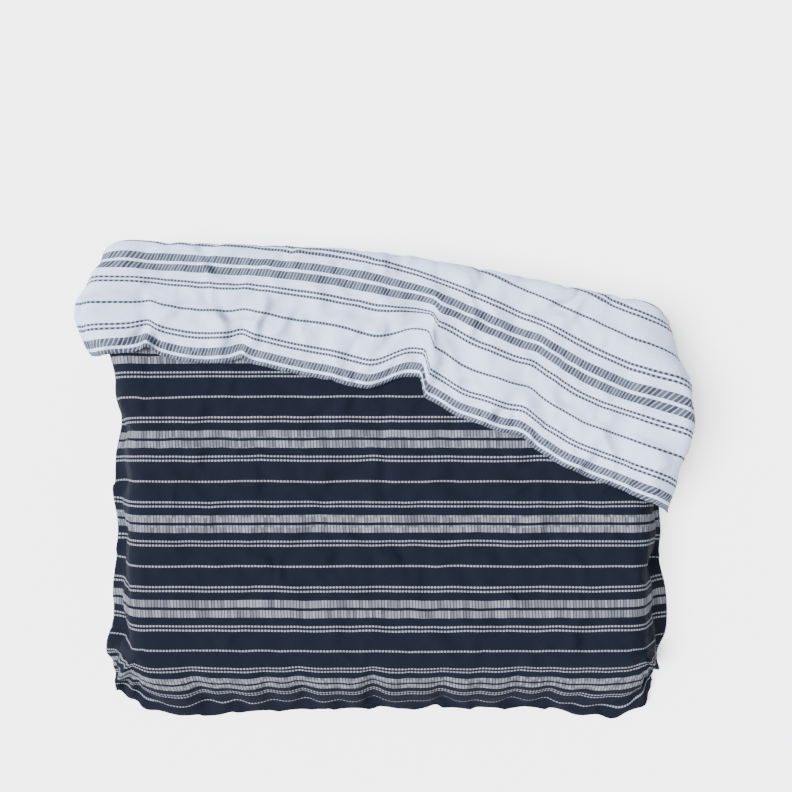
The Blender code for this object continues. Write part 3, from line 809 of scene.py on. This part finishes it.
# Ties of the cover, loops of the insert and the blank label, sewn in beside the side seams
TIE_LENGTH, LABEL_LENGTH = 0.026, 0.050
TIE_FROM_SEAM = (0.011, 0.025)
TIE_ROWS = {"foot": 0.065, "head": 2.119}
LABEL_ROW = 0.158
TIE_RISE, LOOP_RISE = 0.0064, 0.0052
TAPE_THICK = 0.0007
# Twill tape: matt and a little greyer than the cover
COTTON_TAPE = plain("white_cotton_twill_tape", "#D4D7DC", 0.9)
# Satin weave: smoother than the cotton, with a soft gleam
LABEL = plain("satin_woven_label", "#DADCE0", 0.45, specular=0.5)


def sewn_in(name, node, side, middle_row, length, rise, finish):
    """Short tape beside a side seam, in place of the frame's plain one."""
    ends = sorted(side * (HALF - inset) for inset in TIE_FROM_SEAM)
    rows = (middle_row - length / 2, middle_row + length / 2)
    piece = strip(name, ends, rows, rise, TAPE_THICK, finish)
    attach(piece, "duvet")
    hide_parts(node)


for end, row in TIE_ROWS.items():
    for hand, side in (("left", -1), ("right", 1)):
        sewn_in(f"tie_{end}_{hand}", f"cover_tie_{end}_{hand}", side, row, TIE_LENGTH,
                TIE_RISE, COTTON_TAPE)
        sewn_in(f"loop_{end}_{hand}", f"insert_loop_{end}_{hand}", side, row, TIE_LENGTH,
                LOOP_RISE, COTTON_TAPE)
sewn_in("blank_label", "care_label", -1, LABEL_ROW, LABEL_LENGTH, TIE_RISE, LABEL)

# Zip: coils and the seams beside it follow straight lines, slider and pull lose their corners
ALONG_ZIP = Vector((1, 0, 0))
UP_SLOPE = Vector((0, math.cos(FOOT_SLOPE), math.sin(FOOT_SLOPE)))
OUT_OF_BED = ALONG_ZIP.cross(UP_SLOPE)
ZIP_MIDDLE = Vector(laid(np.array([0.0]), np.array([ZIP_FROM_HEM]), np.array([0.0]))[0])
COIL_PITCH, COIL_RADIUS, COIL_WIRE = 0.0015, 0.00065, 0.00032
STITCH_PITCH, STITCH_LENGTH, STITCH_THICK = 0.0040, 0.0028, 0.0007
SEAM_FROM_SLOT = 0.0040
SEAM_OUT = -0.0010          # on the outer face of the tape
SLIDER_ROUND, PULL_ROUND = 0.00022, 0.00028


def along_zip(up, out):
    """Turn and place of a straight row beside the zip's middle line."""
    turn = Matrix((ALONG_ZIP, UP_SLOPE, OUT_OF_BED)).transposed().to_4x4()
    return Matrix.Translation(ZIP_MIDDLE + UP_SLOPE * up + OUT_OF_BED * out) @ turn


def row_tree(name, kind):
    """Geometry nodes: one small shape again and again along a line on X."""
    tree = bpy.data.node_groups.new(name, "GeometryNodeTree")
    for label, of in (("Length", "Float"), ("Pitch", "Float"), ("Width", "Float"),
                      ("Thickness", "Float"), ("Material", "Material")):
        tree.interface.new_socket(label, in_out="INPUT", socket_type=f"NodeSocket{of}")
    tree.interface.new_socket("Geometry", in_out="OUTPUT", socket_type="NodeSocketGeometry")
    given = add(tree, "NodeGroupInput")
    half = add(tree, "ShaderNodeMath", {0: given.outputs["Length"], 1: 0.5}, operation="MULTIPLY")
    less = add(tree, "ShaderNodeMath", {0: half, 1: -1.0}, operation="MULTIPLY")
    first, last = (add(tree, "ShaderNodeCombineXYZ", {0: x}) for x in (less, half))
    line = add(tree, "GeometryNodeCurvePrimitiveLine", {"Start": first, "End": last})
    line = add(tree, "GeometryNodeResampleCurve",
               {"Curve": line, "Length": given.outputs["Pitch"]}, mode="LENGTH")
    if kind == "turn":
        ring = add(tree, "GeometryNodeCurvePrimitiveCircle",
                   {"Resolution": 8, "Radius": given.outputs["Width"]})
        wire = add(tree, "GeometryNodeCurvePrimitiveCircle",
                   {"Resolution": 4, "Radius": given.outputs["Thickness"]})
        shape = add(tree, "GeometryNodeCurveToMesh", {"Curve": ring, "Profile Curve": wire})
    else:
        shape = add(tree, "GeometryNodeMeshUVSphere",
                    {"Segments": 6, "Rings": 4, "Radius": given.outputs["Thickness"]})
        stretch = add(tree, "ShaderNodeMath", {0: given.outputs["Width"],
                                               1: given.outputs["Thickness"]}, operation="DIVIDE")
        size = add(tree, "ShaderNodeCombineXYZ", {0: 1.0, 1: 1.0, 2: stretch})
        shape = add(tree, "GeometryNodeTransform", {"Geometry": shape, "Scale": size})
    placed = add(tree, "GeometryNodeInstanceOnPoints",
                 {"Points": line, "Instance": shape, "Rotation": (0.0, math.pi / 2, 0.0)})
    real = add(tree, "GeometryNodeRealizeInstances", {0: placed})
    done = add(tree, "GeometryNodeSetMaterial",
               {"Geometry": real, "Material": given.outputs["Material"]})
    add(tree, "NodeGroupOutput", {0: done})
    return tree


def row_beside_zip(name, tree, up, out, **sizes):
    """Plain mesh of a row tree with these sizes, put beside the zip's middle line."""
    holder = place_in_scene("row", bpy.data.meshes.new("row"))
    nodes = holder.modifiers.new("row", "NODES")
    nodes.node_group = tree
    for socket in tree.interface.items_tree:
        if socket.in_out == "INPUT":
            nodes[socket.identifier] = sizes[socket.name]
    seen = holder.evaluated_get(bpy.context.evaluated_depsgraph_get())
    mesh = bpy.data.meshes.new_from_object(seen)
    bpy.data.objects.remove(holder)
    mesh.name = name
    mesh.transform(along_zip(up, out))
    mesh.polygons.foreach_set("use_smooth", [True] * len(mesh.polygons))
    piece = place_in_scene(name, mesh)
    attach(piece, "duvet")
    return piece


def middle_of(node):
    """Centre of a frame node, up the slope and out of the bed from the zip's middle line."""
    low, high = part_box(node)
    centre = (low + high) / 2 - ZIP_MIDDLE
    return centre.dot(UP_SLOPE), centre.dot(OUT_OF_BED)


def softened(name, node, body, finish, width):
    """Copy of a frame piece with its corners rounded off."""
    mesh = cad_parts[node].data.copy()
    mesh.name = name
    bm = bmesh.new()
    bm.from_mesh(mesh)
    bmesh.ops.remove_doubles(bm, verts=bm.verts, dist=1e-6)
    bmesh.ops.dissolve_limit(bm, angle_limit=0.02, verts=bm.verts, edges=bm.edges)
    sharp = [edge for edge in bm.edges if edge.calc_face_angle(0) > 0.5]
    bmesh.ops.bevel(bm, geom=sharp, offset=width, segments=3, affect="EDGES", clamp_overlap=True)
    bmesh.ops.recalc_face_normals(bm, faces=bm.faces)
    bm.to_mesh(mesh)
    bm.free()
    mesh.materials.clear()
    mesh.polygons.foreach_set("use_smooth", [True] * len(mesh.polygons))
    mesh.set_sharp_from_angle(angle=math.radians(40))
    piece = place_in_scene(name, mesh, finish)
    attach(piece, body)
    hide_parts(node)


# Drawn monofilament: dark, smooth and slightly glossy
NYLON = plain("navy_nylon_monofilament", "#2A2F3D", 0.35, specular=0.5)
# Spun thread: fuzzy and nearly matt
THREAD = plain("navy_core_spun_thread", "#232837", 0.7)
# Nickel plate on a die casting: a soft mirror, a little rougher on the slider than on the pull
SLIDER_METAL = plain("die_cast_zinc_nickel_plated", "#B4B6BA", 0.30, metallic=1.0)
PULL_METAL = plain("polished_zinc_nickel_plated", "#BDBFC3", 0.22, metallic=1.0)
coil_low, coil_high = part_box("zip_coil_upper")
coil_length = coil_high.x - coil_low.x
coil_rows, stitch_rows = row_tree("zip_coil", "turn"), row_tree("seam_beside_zip", "stitch")
for part, hand in (("upper", 1), ("lower", -1)):
    up, out = middle_of(f"zip_coil_{part}")
    coil = row_beside_zip(f"coil_{part}", coil_rows, up, out, Length=coil_length - COIL_PITCH,
                          Pitch=COIL_PITCH, Width=COIL_RADIUS, Thickness=COIL_WIRE,
                          Material=NYLON)
    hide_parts(f"zip_coil_{part}")
    seam = row_beside_zip(f"zip_seam_{part}", stitch_rows, hand * (SLOT_HALF + SEAM_FROM_SLOT),
                          SEAM_OUT, Length=ZIP_LENGTH, Pitch=STITCH_PITCH,
                          Width=STITCH_LENGTH / 2, Thickness=STITCH_THICK / 2, Material=THREAD)
softened("slider", "zip_slider", "slider", SLIDER_METAL, SLIDER_ROUND)
softened("pull", "zip_pull", "pull", PULL_METAL, PULL_ROUND)

# Finishes of the pieces that the frame already shapes: a matt dark woven tape and satin nickel
FINISHES = {
    "zip_tape": plain("navy_polyester_zip_tape", "#151822", 0.8, grain=1200),
    "zip_stop": plain("crimped_nickel", "#B9BBBF", 0.35, metallic=1.0),
}
for name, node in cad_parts.items():
    for start, finish in FINISHES.items():
        if name.startswith(start):
            for place in node.material_slots:
                place.material = finish

# Floor, light and camera
FLOOR_DEPTH, FLOOR_HALF = MATTRESS_HEIGHT + 0.002, 60
floor_mesh = bpy.data.meshes.new("floor")
floor_mesh.from_pydata([(x * FLOOR_HALF, y * FLOOR_HALF, -FLOOR_DEPTH)
                        for x, y in ((-1, -1), (1, -1), (1, 1), (-1, 1))], [], [(0, 1, 2, 3)])
# White paper sweep, lit from all sides: even and almost shadowless
paper, tree = fresh("white_floor")
shader = add(tree, "ShaderNodeBsdfPrincipled",
             {"Base Color": colour("#FAFAFB"), "Roughness": 0.9, "Specular IOR Level": 0.1,
              "Emission Color": (1, 1, 1, 1), "Emission Strength": 0.6})
add(tree, "ShaderNodeOutputMaterial", {0: shader})
place_in_scene("floor", floor_mesh, paper)

world = bpy.data.worlds.new("soft_room")
bpy.context.scene.world = world
world.use_nodes = True
sky = world.node_tree.nodes["Background"]
sky.inputs["Color"].default_value = (0.96, 0.98, 1.0, 1)
sky.inputs["Strength"].default_value = 0.9

lamp = bpy.data.lights.new("window_side", "SUN")
lamp.energy = 13.1
lamp.angle = math.radians(34)
window = bpy.data.objects.new("window_side", lamp)
window.rotation_euler = Vector((0.60, 0.10, -0.88)).to_track_quat("-Z", "Y").to_euler()
bpy.context.scene.collection.objects.link(window)

camera = bpy.data.cameras.new("camera")
camera.sensor_width = 36
camera.lens = 34.49
camera.shift_x = 0.0032
camera.shift_y = 0.068
watcher = bpy.data.objects.new("camera", camera)
watcher.location = (0.02, -0.268, 2.745)
bpy.context.scene.collection.objects.link(watcher)
bpy.context.scene.camera = watcher
